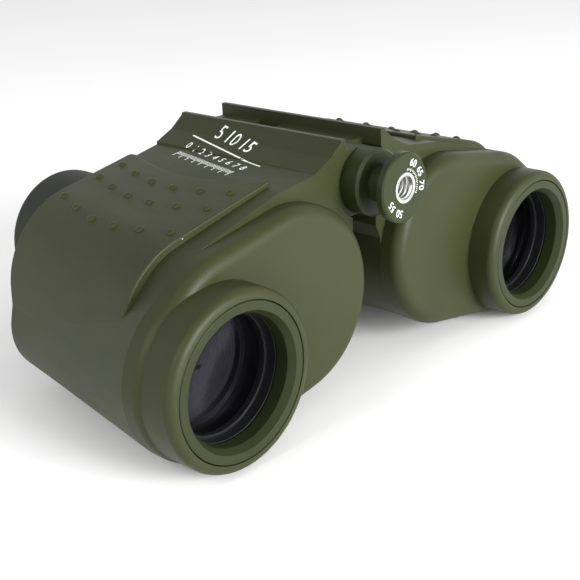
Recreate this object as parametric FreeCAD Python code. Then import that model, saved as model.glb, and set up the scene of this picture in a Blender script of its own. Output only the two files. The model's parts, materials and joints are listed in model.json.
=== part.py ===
import FreeCAD, Part
import math
import os

# Hand-held prism binoculars: two barrels on a centre hinge, each focused by turning its own eyepiece ring.
# Millimetres. +Y runs along the optical axes from the objectives to the eyepieces, +Z is up, and the origin
# is the mouth of the tripod socket, on the hinge axis. The barrel at +X is the user's left one.
# Every barrel piece is drawn for +X and mirrored for the other barrel.

V = FreeCAD.Vector
ALONG = V(0, 1, 0)

# Optical axes, measured out from and down from the hinge axis
OBJECTIVE_OUT = 62.2
OBJECTIVE_DROP = 32.0
EYEPIECE_OUT = 34.0
EYEPIECE_DROP = 24.0

# General fits
SNUG = 0.03  # radial gap between two pieces of one body
RUNNING = 0.05  # radial gap where one body turns or slides in another
SWEEP_GAP = 1.4  # gap between a knuckle and the housing that swings round it

# Hinge, front to rear
SOCKET_FACE_R = 9.4
SOCKET_FACE_T = 2.2
SOCKET_NECK_R = 5.0
SOCKET_NECK_LENGTH = 6.5
THREAD_R = 3.2
THREAD_LENGTH = 8.0
INSERT_R = 4.1
FRONT_FLANGE_LENGTH = 6.0
KNUCKLE_R = 9.2
KNUCKLE_LENGTHS = (5.5, 29.5, 9.0)  # the last knuckle fills what is left
WASHER_T = 0.4
WASHER_GAP = 0.05
AXLE_R = 3.5
AXLE_SEAT = 3.5  # depth of the axle's seat in the front flange
BUSH_WALL = 1.1
REAR_NUT_R = 8.4
REAR_NUT_T = 2.0
SET_SCREW_R = 1.25

# Housing shell
WALL = 2.4
CAVITY_CORNER_R = 2.6
CAVITY_CORNER_DROP = 4.6
TUBE_PROUD = 1.7  # the objective tubes reach this far in front of the tripod socket
TUBE_R = 22.7
TUBE_LENGTH = 8.7
TUBE_EDGE = 2.2
NOSE_LENGTH = 7.0  # rounded prism nose, from its face back to the body's front face
NOSE_EDGE = 3.5
NOSE_INNER_R = 25.5
NOSE_OUTER_R = 23.4
SHOULDER_R = 24.6
SHOULDER_IN = 7.2  # the shoulder's centre, in and up from the objective axis
SHOULDER_UP = 4.0
EYE_SIDE_IN = 2.0  # the flank beside the other barrel, in from the eyepiece axis
EYE_SIDE_R = 25.2
HINGE_CORNER = (9.6, 4.2, 2.5)  # rounded corners of the top face (out, up, radius), front and rear
HINGE_CORNER_REAR = (9.9, 4.5, 2.5)
TOP_BEND = (31.5, -1.6, 5.6)
TOP_BEND_REAR = (24.0, -1.7, 5.6)
REAR_SHOULDER = (-13.6, 6.5, 23.6)  # rear circles (out, up, radius) from the objective axis
REAR_OUTER = (-2.6, -4.0, 15.2)
BODY_EDGE = 1.6
BODY_EDGE_STEPS = 5
GRIP_HEIGHT = 1.5
GRIP_SETBACK = 5.5
GRIP_EDGE = 0.5
GRIP_FADE = 0.8
GRIP_BOW = 4.8
GRIP_INNER_FRONT = 30.0
GRIP_INNER_REAR = 27.8
GRIP_FRONT_SLANT = 3.6
GRIP_OUTER_REACH = 40.0
DOT_R = 1.5
DOT_SINK = 0.8
DOTS_IN_ROW = 6
DOT_PITCH = 9.25
DOT_REAR_GAP = 5.6
DOT_ROWS_OUT = (35.8, 44.0, 56.0)  # each row's rear end, out from the hinge
DOT_ROW_LEAN = 2.4
DOT_ROW_BOW = 4.2
LIP_INNER = 7.3
LIP_TOP = 12.4
LIP_WIDTH = 1.5
LIP_REAR_GAP = 0.8
RAMP_REACH = 12.0  # the ramp from the lip down to the top face
RAMP_MIDDLE = 8.4
RAMP_FOOT = 5.6
WEB_INNER = 4.9
WEB_LOW = -14.2
WEB_DEPTH = -22.0

# Prisms and their shelf
PRISM_TRIM = 4.0
PRISM_HALF_WIDTH = 5.8
PRISM_ROOM = 0.3
PRISM_FRONT_GAP = 10.3
PRISM_REAR_GAP = 6.2
SHELF_T = 2.5
SHELF_GAP = 1.4  # between the shelf's edge and the housing's inner wall
APERTURE_R = 5.6
CLIP_T = 0.5
CLIP_HALF_WIDTH = 2.5
CLIP_FOOT = 1.4
SHELF_SCREW_R = 1.0
SHELF_BOSS_R = 4.2
SHELF_BOSS_LENGTH = 13.0

# Rear cover
COVER_T = 2.1
COVER_RECESS = 0.2
COVER_INSET = 1.3
GASKET_T = 0.4
COVER_SCREW_R = 1.0
COVER_SCREW_HEAD_R = 1.9
COVER_SCREW_LENGTH = 6.5
COVER_BOSS_R = 2.6

# Objective
RING_FLANGE_R = 19.8
RING_SEAM = 0.25
RING_FLANGE_T = 2.5
RING_FACE_INNER_R = 17.5
RING_BORE_R = 16.3
RING_BEVEL = 2.0
RING_NECK_R = 18.6
RING_NECK_LENGTH = 3.0
SEAL_T = 0.6
CELL_R = 18.0
CELL_LENGTH = 26.4
CELL_BORE_R = 16.3
CELL_WAIST_R = 16.4
CELL_SEAT = 4.0  # length of the cell's seat behind the body's front face
LENS_R = 16.2
LENS_DEPTH = 4.9  # from the cell's mouth to the rim of the front lens
LOCK_RING_T = 1.8
LOCK_RING_WIDTH = 0.7
CROWN_RIM_T = 2.4
CROWN_FRONT_CURVE = 76.0
CEMENT_CURVE = 52.0
FLINT_RIM_T = 3.4
FLINT_REAR_CURVE = 190.0
LENS_SEAT = 0.15  # seats stand this far off a lens's rim, clear of its curve
BAFFLE_PITCH = 1.3
BAFFLE_DEPTH = 0.7
BAFFLE_FRONT_R = 14.9
BAFFLE_REAR_R = 12.4

# Eyepiece
MOUNT_R = 14.0
MOUNT_BORE_R = 12.0
MOUNT_LENGTH = 14.5
MOUNT_FLANGE_R = 16.8
MOUNT_FLANGE_T = 1.7
MOUNT_SPIGOT_R = 13.2
MOUNT_SPIGOT_LENGTH = 5.0
FLANGE_SEAL_R = 0.5
CARRIER_LENGTH = 19.5
CARRIER_WALL = 1.5
CARRIER_PROUD = 2.0
FOCUS_TRAVEL = 1.5  # each way
FIELD_LENS_R = 9.6
EYE_LENS_R = 9.2
EYE_LENS_DEPTH = 1.6
EYE_RING_T = 1.2
PIN_R = 0.9
PIN_REACH = 0.9
PIN_SEAT = 1.2  # the pin's depth in the carrier's wall
RING_GAP = 0.6
RING_OUTER_R = 18.5
RING_GRIP_LENGTH = 8.4
RING_SCALLOPS = 30
SCALLOP_R = 0.8
RING_SLEEVE_R = 16.0
RING_SLEEVE_LENGTH = 9.5
RETAINER_T = 1.4
RETAINER_R = 14.9
RETAINER_SEAT_R = 13.4
CUP_R = 19.6
CUP_LENGTH = 18.6
CUP_EDGE = 2.4
CUP_MOUTH_R = 16.6
CUP_THROAT_R = 11.4

# Places that follow from the sizes above
FRONT_FLANGE_FRONT = SOCKET_FACE_T + SOCKET_NECK_LENGTH
HINGE_FRONT = FRONT_FLANGE_FRONT + FRONT_FLANGE_LENGTH
AXLE_FRONT = HINGE_FRONT - AXLE_SEAT
POCKET_R = KNUCKLE_R + SWEEP_GAP
TUBE_FRONT = -TUBE_PROUD
NOSE_FRONT = TUBE_FRONT + TUBE_LENGTH
BODY_FRONT = NOSE_FRONT + NOSE_LENGTH
OBJECTIVE_AXIS = (OBJECTIVE_OUT, -OBJECTIVE_DROP)
EYEPIECE_AXIS = (EYEPIECE_OUT, -EYEPIECE_DROP)
AXIS_SHIFT = math.hypot(EYEPIECE_OUT - OBJECTIVE_OUT, OBJECTIVE_DROP - EYEPIECE_DROP)
PRISM_STEP = AXIS_SHIFT / math.sqrt(2)
SHELF_FRONT = BODY_FRONT + PRISM_FRONT_GAP + PRISM_STEP
SHELF_REAR = SHELF_FRONT + SHELF_T
LEDGE = SHELF_REAR + PRISM_STEP + PRISM_REAR_GAP
COVER_FRONT = LEDGE + GASKET_T
COVER_REAR = COVER_FRONT + COVER_T
BODY_REAR = COVER_REAR + COVER_RECESS
HINGE_REAR = BODY_REAR - REAR_NUT_T - 2 * WASHER_GAP - WASHER_T
NUT_FRONT = HINGE_REAR + WASHER_T + 2 * WASHER_GAP
RING_FLANGE_REAR = TUBE_FRONT + RING_FLANGE_T
RING_NECK_REAR = RING_FLANGE_REAR + RING_NECK_LENGTH
CELL_FRONT = RING_NECK_REAR + SEAL_T
MOUNT_FLANGE_REAR = COVER_REAR + MOUNT_FLANGE_T
MOUNT_REAR = MOUNT_FLANGE_REAR + MOUNT_LENGTH
CARRIER_REAR = MOUNT_REAR + CARRIER_PROUD
RING_FRONT = MOUNT_FLANGE_REAR + RING_GAP
RING_SLEEVE_FRONT = RING_FRONT + RING_GRIP_LENGTH
RING_REAR = RING_SLEEVE_FRONT + RING_SLEEVE_LENGTH
CUP_FRONT = RING_SLEEVE_FRONT
PIN_Y = MOUNT_FLANGE_REAR + 5.0


def knuckle_spans():
    """Front and rear of each hinge knuckle; the barrels take them in turn, the right one first."""
    gap = WASHER_T + 2 * WASHER_GAP
    spans = []
    front = HINGE_FRONT
    for length in KNUCKLE_LENGTHS:
        spans.append((front, front + length))
        front += length + gap
    spans.append((front, HINGE_REAR))
    return spans


def cylinder(axis, radius, front, rear):
    """A solid cylinder along +Y about the axis (x, z)."""
    return Part.makeCylinder(radius, rear - front, V(axis[0], front, axis[1]), ALONG)


def tube(axis, outer, inner, front, rear):
    """A plain ring or bush along +Y."""
    return cylinder(axis, outer, front, rear).cut(cylinder(axis, inner, front - 1, rear + 1))


def box(low, high):
    """A box between two opposite corners."""
    return Part.makeBox(high[0] - low[0], high[1] - low[1], high[2] - low[2], V(*low))


def turned(axis, profile):
    """Turn a closed profile of (radius, y) points about the axis (x, z)."""
    points = [V(axis[0] + r, y, axis[1]) for r, y in profile]
    face = Part.Face(Part.makePolygon(points + points[:1]))
    return face.revolve(V(axis[0], 0, axis[1]), ALONG, 360)


def fuse_all(shapes):
    """Fuse a list of solids into one clean solid."""
    whole = shapes[0].fuse(shapes[1:])
    return whole.removeSplitter()


def rounded_edges(solid, radius, wanted):
    """Fillet the edges whose middle point passes the test."""
    edges = [e for e in solid.Edges if wanted(e.valueAt((e.FirstParameter + e.LastParameter) / 2))]
    return solid.makeFillet(radius, edges)


def outline(circles, y):
    """A closed wire at y: the band stretched round the circles (x, z, r), which run clockwise from the top."""
    count = len(circles)
    leave, reach = [], []
    for i, (x1, z1, r1) in enumerate(circles):
        x2, z2, r2 = circles[(i + 1) % count]
        apart = math.hypot(x2 - x1, z2 - z1)
        dx, dz = (x2 - x1) / apart, (z2 - z1) / apart
        lean = (r1 - r2) / apart
        rise = math.sqrt(1 - lean * lean)
        nx, nz = dx * lean - dz * rise, dz * lean + dx * rise
        leave.append((x1 + r1 * nx, z1 + r1 * nz))
        reach.append((x2 + r2 * nx, z2 + r2 * nz))
    edges = []
    for i, (x, z, r) in enumerate(circles):
        start, end = reach[i - 1], leave[i]
        a = math.atan2(start[1] - z, start[0] - x)
        b = math.atan2(end[1] - z, end[0] - x)
        middle = a - ((a - b) % (2 * math.pi)) / 2
        top = V(x + r * math.cos(middle), y, z + r * math.sin(middle))
        edges.append(Part.Arc(V(start[0], y, start[1]), top, V(end[0], y, end[1])).toShape())
        after = reach[i]
        edges.append(Part.makeLine(V(end[0], y, end[1]), V(after[0], y, after[1])))
    return Part.Wire(edges)


def inset(circles, by):
    """The same band of circles, drawn in by a distance."""
    return [(x, z, r - by) for x, z, r in circles]


def plate(circles, front, rear):
    """A straight plate of one outline."""
    return Part.Face(outline(circles, front)).extrude(V(0, rear - front, 0))


def tapered(front_circles, front, rear_circles, rear):
    """A solid that runs straight from one outline to another."""
    return Part.makeLoft([outline(front_circles, front), outline(rear_circles, rear)], True, True)


def shoulder_circle():
    """The rounded shoulder between the eyepiece side and the objective, at the front of the body."""
    return (OBJECTIVE_OUT - SHOULDER_IN, -OBJECTIVE_DROP + SHOULDER_UP, SHOULDER_R)


def eye_side_circle(radius, drop):
    """The rounded flank under the eyepiece side."""
    return (EYEPIECE_OUT - EYE_SIDE_IN, -EYEPIECE_DROP - drop, radius)


def body_front_circles():
    """The body's outline at its front face: hinge corner, top bend, shoulder, objective side, eyepiece side."""
    objective_side = (*OBJECTIVE_AXIS, NOSE_OUTER_R)
    return [HINGE_CORNER, TOP_BEND, shoulder_circle(), objective_side, eye_side_circle(EYE_SIDE_R, 0.5)]


def body_rear_circles():
    """The body's outline at its rear face, drawn in towards the eyepiece."""
    x, z = OBJECTIVE_AXIS
    outer = [(x + out, z + up, radius) for out, up, radius in (REAR_SHOULDER, REAR_OUTER)]
    return [HINGE_CORNER_REAR, TOP_BEND_REAR, *outer, eye_side_circle(EYE_SIDE_R - 0.2, 1)]


def body_circles_at(y):
    """The body's outline between its two end faces."""
    share = (y - BODY_FRONT) / (BODY_REAR - BODY_FRONT)
    pairs = zip(body_front_circles(), body_rear_circles())
    return [tuple(a + (b - a) * share for a, b in zip(front, rear)) for front, rear in pairs]


def cover_circles():
    """The rear cover's outline: inside the body's rear edge, and clear of the hinge pocket."""
    circles = inset(body_rear_circles(), COVER_INSET)
    radius = HINGE_CORNER_REAR[2] - COVER_INSET
    return [(POCKET_R + WALL, HINGE_CORNER_REAR[1] - COVER_INSET, radius)] + circles[1:]


def cavity_circles_at(y):
    """The hollow's outline at y: one wall in from the body, and clear of the hinge pocket."""
    circles = inset(body_circles_at(y), WALL)
    corner = POCKET_R + WALL + CAVITY_CORNER_R + 0.6
    return [(corner, circles[0][1] - CAVITY_CORNER_DROP, CAVITY_CORNER_R)] + circles[1:]


def nose_circles():
    """The prism nose's outline: round the eyepiece side of the prisms, the shoulder and the objective."""
    return [eye_side_circle(NOSE_INNER_R, 0.5), shoulder_circle(), (*OBJECTIVE_AXIS, NOSE_OUTER_R)]


def nose():
    """The rounded nose in front of the body."""
    block = plate(nose_circles(), NOSE_FRONT, BODY_FRONT)
    return rounded_edges(block, NOSE_EDGE, lambda p: abs(p.y - NOSE_FRONT) < 0.01)


def objective_tube():
    """The outside of the objective tube, with its rounded front edge."""
    block = cylinder(OBJECTIVE_AXIS, TUBE_R, TUBE_FRONT, NOSE_FRONT + NOSE_EDGE + 1)
    return rounded_edges(block, TUBE_EDGE, lambda p: abs(p.y - TUBE_FRONT) < 0.01)


def body_block():
    """The tapered main body with its rear edge rounded in short steps."""
    edge_front = BODY_REAR - BODY_EDGE
    slices = [tapered(body_front_circles(), BODY_FRONT, body_circles_at(edge_front), edge_front)]
    rings = []
    for i in range(BODY_EDGE_STEPS + 1):
        bend = math.pi / 2 * i / BODY_EDGE_STEPS
        rings.append((BODY_EDGE * (1 - math.cos(bend)), edge_front + BODY_EDGE * math.sin(bend)))
    for (near_inset, near), (far_inset, far) in zip(rings, rings[1:]):
        near_circles = inset(body_circles_at(near), near_inset)
        slices.append(tapered(near_circles, near, inset(body_circles_at(far), far_inset), far))
    return fuse_all(slices)


def hinge_web():
    """The wall beside the hinge: a thin lip that the top face climbs to, and a blunt corner below."""
    depth = LIP_INNER + RAMP_REACH
    points = [
        (WEB_INNER, WEB_LOW),
        (WEB_INNER, -5),
        (LIP_INNER, 0),
        (LIP_INNER, LIP_TOP),
        (LIP_INNER + LIP_WIDTH, LIP_TOP),
        (LIP_INNER + LIP_WIDTH + 0.4, LIP_TOP - 0.8),
        (LIP_INNER + RAMP_REACH / 2, RAMP_MIDDLE),
        (depth, RAMP_FOOT),
        (depth, WEB_DEPTH),
        (8.6, WEB_DEPTH),
    ]
    wire = Part.makePolygon([V(x, BODY_FRONT, z) for x, z in points + points[:1]])
    return Part.Face(wire).extrude(V(0, BODY_REAR - LIP_REAR_GAP - BODY_FRONT, 0))


def grip_skin():
    """The raised layer over the shoulder, which fades out towards the objective's underside."""
    skins = []
    for circles, corner_z in ((body_front_circles(), 4.2), (body_rear_circles(), 2.6)):
        x, z, r = circles[2]
        corner = (GRIP_INNER_FRONT, corner_z + GRIP_HEIGHT - 3.0, 3.0)
        shoulder = (x, z + 0.5, r + 0.9 * GRIP_HEIGHT)
        outer = (*circles[3][:2], circles[3][2] - GRIP_FADE)
        skins.append([corner, shoulder, outer, (EYEPIECE_OUT + 6, -EYEPIECE_DROP, 8.0)])
    return tapered(skins[0], BODY_FRONT, skins[1], BODY_REAR)


def grip_region():
    """The grip seen from above: a bowed inner edge beside the hinge and a straight front edge."""
    near, far = BODY_FRONT + GRIP_SETBACK, BODY_REAR - BODY_EDGE
    wide = OBJECTIVE_OUT + 40
    inner_front, inner_rear = V(GRIP_INNER_FRONT, near, 0), V(GRIP_INNER_REAR, far, 0)
    bow = V(GRIP_INNER_FRONT + GRIP_BOW, (near + far) / 2, 0)
    rim = [inner_front, V(wide, near + GRIP_FRONT_SLANT, 0), V(wide, far, 0), inner_rear]
    edges = [Part.makeLine(a, b) for a, b in zip(rim, rim[1:])]
    edges.append(Part.Arc(inner_rear, bow, inner_front).toShape())
    region = Part.Face(Part.Wire(edges)).extrude(V(0, 0, 2 * wide))
    region.translate(V(0, 0, -wide))
    return region


def grip_pad():
    """The grip as one solid, its upper rim rounded over."""
    near, far = BODY_FRONT + GRIP_SETBACK, BODY_REAR - BODY_EDGE

    def on_rim(p):
        front = near - 0.1 < p.y < near + GRIP_FRONT_SLANT and p.z > -20
        inner = 25 < p.x < GRIP_OUTER_REACH and p.z > 0 and near < p.y < far - 1
        return front or inner

    return rounded_edges(grip_skin().common(grip_region()), GRIP_EDGE, on_rim)


def grip_dots(pad):
    """Three bowed rows of round bumps standing on the grip."""
    dots = []
    last = DOTS_IN_ROW - 1
    for row_out in DOT_ROWS_OUT:
        for i in range(DOTS_IN_ROW):
            x = row_out + DOT_ROW_LEAN * i / last + DOT_ROW_BOW * math.sin(math.pi * i / last)
            y = BODY_REAR - DOT_REAR_GAP - DOT_PITCH * i
            dots.append(bump_on(pad, x, y))
    return dots


def bump_on(pad, x, y):
    """A ball sunk into the pad's top at (x, y)."""
    stab = Part.makeLine(V(x, y, -10), V(x, y, 40)).common(pad)
    top = max(v.Z for v in stab.Vertexes)
    return Part.makeSphere(DOT_R, V(x, y, top - DOT_SINK))


def knuckles(own):
    """This barrel's hinge knuckles, each bridged to the wall beside the hinge."""
    solids = []
    for front, rear in own:
        solids.append(cylinder((0, 0), KNUCKLE_R, front, rear))
        solids.append(box((0, front, -KNUCKLE_R), (LIP_INNER + 0.6, rear, KNUCKLE_R)))
        solids.append(box((0, front, -KNUCKLE_R), (POCKET_R + 2, rear, HINGE_CORNER[1])))
    return solids


def cover_screw_places():
    """Centres of the rear cover's screws, beside the cavity wall and clear of the eyepiece."""
    circles = body_rear_circles()
    reach = WALL + COVER_BOSS_R - 1
    places = [(POCKET_R + WALL + COVER_BOSS_R, 0.6)]
    for index, degrees in ((2, 55), (3, -12), (4, -118)):
        x, z, r = circles[index]
        angle = math.radians(degrees)
        places.append((x + (r - reach) * math.cos(angle), z + (r - reach) * math.sin(angle)))
    return places


def shelf_screw_places():
    """Centres of the prism shelf's screws, beside the wall and clear of both prisms."""
    circles = body_circles_at(SHELF_FRONT)
    top_bend, eye = circles[1], circles[4]
    reach = WALL + 4.0
    angle = math.radians(-158)
    side = (eye[0] + (eye[2] - reach) * math.cos(angle), eye[1] + (eye[2] - reach) * math.sin(angle))
    top = (top_bend[0] + 3, top_bend[1] + top_bend[2] - reach + 0.6)
    bottom = (EYEPIECE_OUT + 5, eye[1] - eye[2] + reach - 1.0)
    return [side, top, bottom]


def housing_hollow():
    """Everything taken out of the housing."""
    cavity_front, cavity_rear = BODY_FRONT + WALL, LEDGE
    ends = (cavity_circles_at(cavity_front), cavity_circles_at(cavity_rear))
    cavity = tapered(ends[0], cavity_front, ends[1], cavity_rear)
    nose_hollow = plate(inset(nose_circles(), WALL + 1.2), NOSE_FRONT + WALL, cavity_front + 1)
    cover_seat = plate(cover_circles(), LEDGE, BODY_REAR + 1)
    return [
        cavity,
        nose_hollow,
        cover_seat,
        cylinder(OBJECTIVE_AXIS, RING_FLANGE_R + RING_SEAM, TUBE_FRONT - 1, RING_FLANGE_REAR),
        cylinder(OBJECTIVE_AXIS, RING_NECK_R, TUBE_FRONT, RING_NECK_REAR),
        cylinder(OBJECTIVE_AXIS, CELL_R, TUBE_FRONT, BODY_FRONT + CELL_SEAT),
    ]


def bosses():
    """Screw posts inside the housing, trimmed to its outer shape."""
    posts = [cylinder(p, SHELF_BOSS_R, SHELF_FRONT - SHELF_BOSS_LENGTH, SHELF_FRONT) for p in shelf_screw_places()]
    posts += [cylinder(p, COVER_BOSS_R, LEDGE - 8, LEDGE) for p in cover_screw_places()]
    shell = tapered(inset(body_front_circles(), 1), BODY_FRONT, inset(body_rear_circles(), 1), BODY_REAR)
    return [post.common(shell) for post in posts]


def housing(own, others):
    """One barrel's housing for +X, with its own hinge knuckles and room for the other barrel's."""
    pad = grip_pad()
    outside = fuse_all([body_block(), nose(), objective_tube(), hinge_web(), pad] + grip_dots(pad))
    swing = cylinder((0, 0), POCKET_R, BODY_FRONT - 1, HINGE_FRONT)
    gap = WASHER_T + 2 * WASHER_GAP
    sweeps = [cylinder((0, 0), POCKET_R, front - gap, rear + gap) for front, rear in others]
    sweeps.append(cylinder((0, 0), POCKET_R, HINGE_REAR, BODY_REAR + 1))
    shape = outside.cut([swing] + sweeps)
    shape = shape.fuse(knuckles(own))
    shape = shape.cut(housing_hollow()).fuse(bosses())
    holes = [cylinder(p, SHELF_SCREW_R, SHELF_FRONT - 6, SHELF_FRONT) for p in shelf_screw_places()]
    holes += [cylinder(p, COVER_SCREW_R, LEDGE - COVER_SCREW_LENGTH, LEDGE) for p in cover_screw_places()]
    return shape.cut(holes).removeSplitter()


def rear_cover():
    """The plate that closes the housing and carries the eyepiece."""
    shape = plate(inset(cover_circles(), SNUG), COVER_FRONT, COVER_REAR)
    shape = shape.cut(cylinder(EYEPIECE_AXIS, MOUNT_SPIGOT_R + SNUG, COVER_FRONT - 1, COVER_REAR + 1))
    for place in cover_screw_places():
        shape = shape.cut(cylinder(place, COVER_SCREW_R + SNUG, COVER_FRONT - 1, COVER_REAR + 1))
        sink = COVER_SCREW_HEAD_R - COVER_SCREW_R
        sink_front = COVER_REAR - sink
        shape = shape.cut(cone(place, COVER_SCREW_R + SNUG, COVER_SCREW_HEAD_R + SNUG, sink_front, COVER_REAR))
    return shape


def cone(axis, front_r, rear_r, front, rear):
    """A cone along +Y about the axis (x, z)."""
    return Part.makeCone(front_r, rear_r, rear - front, V(axis[0], front, axis[1]), ALONG)


def cover_gasket():
    """The thin gasket on the ledge under the rear cover."""
    ring = plate(inset(cover_circles(), SNUG), LEDGE, COVER_FRONT)
    holes = [plate(cavity_circles_at(LEDGE), LEDGE - 1, COVER_FRONT + 1)]
    holes += [cylinder(p, COVER_SCREW_R + SNUG, LEDGE - 1, COVER_FRONT + 1) for p in cover_screw_places()]
    return ring.cut(holes)


def screw_slot(axis, half_length, rear, depth=0.7):
    """The cut for a screwdriver across a screw head."""
    x, z = axis
    return box((x - half_length, rear - depth, z - 0.25), (x + half_length, rear + 1, z + 0.25))


def cover_screws():
    """Countersunk screws that hold the rear cover."""
    screws = []
    sink = COVER_SCREW_HEAD_R - COVER_SCREW_R
    for place in cover_screw_places():
        shank = cylinder(place, COVER_SCREW_R - SNUG, LEDGE - COVER_SCREW_LENGTH + 0.5, COVER_REAR - sink)
        head = cone(place, COVER_SCREW_R - SNUG, COVER_SCREW_HEAD_R - SNUG, COVER_REAR - sink, COVER_REAR)
        screws.append(shank.fuse(head).cut(screw_slot(place, 2 * COVER_SCREW_HEAD_R, COVER_REAR)))
    return Part.makeCompound(screws)


def prism_frame(rear):
    """Middle, long direction and width direction of the rear or the front prism, as (x, z) pairs."""
    along = math.atan2(OBJECTIVE_DROP - EYEPIECE_DROP, EYEPIECE_OUT - OBJECTIVE_OUT)
    turn = along - math.pi / 4
    step = (PRISM_STEP * math.cos(turn), PRISM_STEP * math.sin(turn))
    between = (OBJECTIVE_AXIS[0] + step[0], OBJECTIVE_AXIS[1] + step[1])
    ends = (OBJECTIVE_AXIS, between) if rear else (between, EYEPIECE_AXIS)
    middle = tuple((a + b) / 2 for a, b in zip(*ends))
    long_way = tuple((b - a) / PRISM_STEP for a, b in zip(*ends))
    return middle, long_way, (-long_way[1], long_way[0])


def prism_slab(rear, profile, half_width):
    """A slab across the prism: a profile of (along, depth) points pulled to a width."""
    (mx, mz), (ux, uz), (wx, wz) = prism_frame(rear)
    face_y, away = (SHELF_REAR, 1) if rear else (SHELF_FRONT, -1)
    points = []
    for along, depth in profile:
        x, z = mx + along * ux - half_width * wx, mz + along * uz - half_width * wz
        points.append(V(x, face_y + away * depth, z))
    face = Part.Face(Part.makePolygon(points + points[:1]))
    return face.extrude(V(2 * half_width * wx, 0, 2 * half_width * wz))


def prism_profile(grow=0.0):
    """Half-section outline of a prism with blunted corners, or of the clip round it."""
    half = PRISM_STEP - PRISM_TRIM + grow
    deep = PRISM_STEP + grow * math.sqrt(2)
    flat = 1.2
    right = [(half, 0), (half, deep - half), (flat, deep - flat)]
    return right + [(-a, d) for a, d in reversed(right)]


def prism(rear):
    """A right-angled glass prism with its long face on the shelf."""
    return prism_slab(rear, prism_profile(), PRISM_HALF_WIDTH)


def prism_clips():
    """A thin strap over each prism, with a foot on the shelf at each end."""
    clips = []
    for rear in (True, False):
        strap = prism_slab(rear, prism_profile(CLIP_T), CLIP_HALF_WIDTH)
        half = PRISM_STEP - PRISM_TRIM + CLIP_T
        foot_end = half + CLIP_FOOT
        foot_profile = [(-foot_end, 0), (foot_end, 0), (foot_end, CLIP_T), (-foot_end, CLIP_T)]
        foot = prism_slab(rear, foot_profile, CLIP_HALF_WIDTH)
        inside = prism_slab(rear, prism_profile(), CLIP_HALF_WIDTH + 1)
        clips.append(strap.fuse(foot).cut(inside).removeSplitter())
    return Part.makeCompound(clips)


def prism_shelf():
    """The plate that both prisms lie on, with a window for each pass of the light."""
    shape = plate(inset(cavity_circles_at(SHELF_REAR), SHELF_GAP), SHELF_FRONT, SHELF_REAR)
    (mx, mz), (ux, uz), _ = prism_frame(True)
    between = (mx + ux * PRISM_STEP / 2, mz + uz * PRISM_STEP / 2)
    holes = [(p, APERTURE_R) for p in (OBJECTIVE_AXIS, between, EYEPIECE_AXIS)]
    holes += [(p, SHELF_SCREW_R + SNUG) for p in shelf_screw_places()]
    return shape.cut([cylinder(p, r, SHELF_FRONT - 1, SHELF_REAR + 1) for p, r in holes])


def shelf_screws():
    """Round-headed screws that hold the shelf to its bosses."""
    screws = []
    for place in shelf_screw_places():
        shank = cylinder(place, SHELF_SCREW_R - SNUG, SHELF_FRONT - 5.5, SHELF_REAR)
        head = cylinder(place, 1.9 * SHELF_SCREW_R, SHELF_REAR, SHELF_REAR + 1.2)
        screws.append(shank.fuse(head).cut(screw_slot(place, 3, SHELF_REAR + 1.2)))
    return Part.makeCompound(screws)


def lens_profile(front_rim, rear_rim, radius, front_curve, rear_curve):
    """A lens's half section as an axis line, two arcs and a rim; a positive curve bulges to the front."""
    def sag(curve, r):
        return math.copysign(abs(curve) - math.sqrt(curve * curve - r * r), curve)

    def arc(rim, curve):
        middle = radius / 2
        top = rim - sag(curve, radius)
        return [V(0, top, 0), V(middle, top + sag(curve, middle), 0), V(radius, rim, 0)]

    front, rear = arc(front_rim, front_curve), arc(rear_rim, rear_curve)
    edges = [Part.Arc(*front).toShape(), Part.makeLine(front[2], rear[2])]
    edges += [Part.Arc(*rear).toShape(), Part.makeLine(rear[0], front[0])]
    return Part.Face(Part.Wire(Part.sortEdges(edges)[0]))


def lens(axis, front_rim, rear_rim, radius, front_curve, rear_curve):
    """A round lens with two curved faces."""
    face = lens_profile(front_rim, rear_rim, radius, front_curve, rear_curve)
    solid = face.revolve(V(0, 0, 0), ALONG, 360)
    solid.translate(V(axis[0], 0, axis[1]))
    return solid


def retaining_ring():
    """The bevelled ring in the mouth of the objective tube."""
    front, flange, neck = TUBE_FRONT, RING_FLANGE_REAR, RING_NECK_REAR
    edge = 0.2
    profile = [
        (RING_FACE_INNER_R, front),
        (RING_FLANGE_R - edge, front),
        (RING_FLANGE_R, front + edge),
        (RING_FLANGE_R, flange - SNUG),
        (RING_NECK_R - SNUG, flange - SNUG),
        (RING_NECK_R - SNUG, neck),
        (RING_BORE_R, neck),
        (RING_BORE_R, front + RING_BEVEL),
    ]
    return turned(OBJECTIVE_AXIS, profile)


def objective_seal():
    """The flat seal between the retaining ring and the cell."""
    return tube(OBJECTIVE_AXIS, CELL_R - SNUG, RING_BORE_R + 0.4, CELL_FRONT - SEAL_T, CELL_FRONT)


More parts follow.
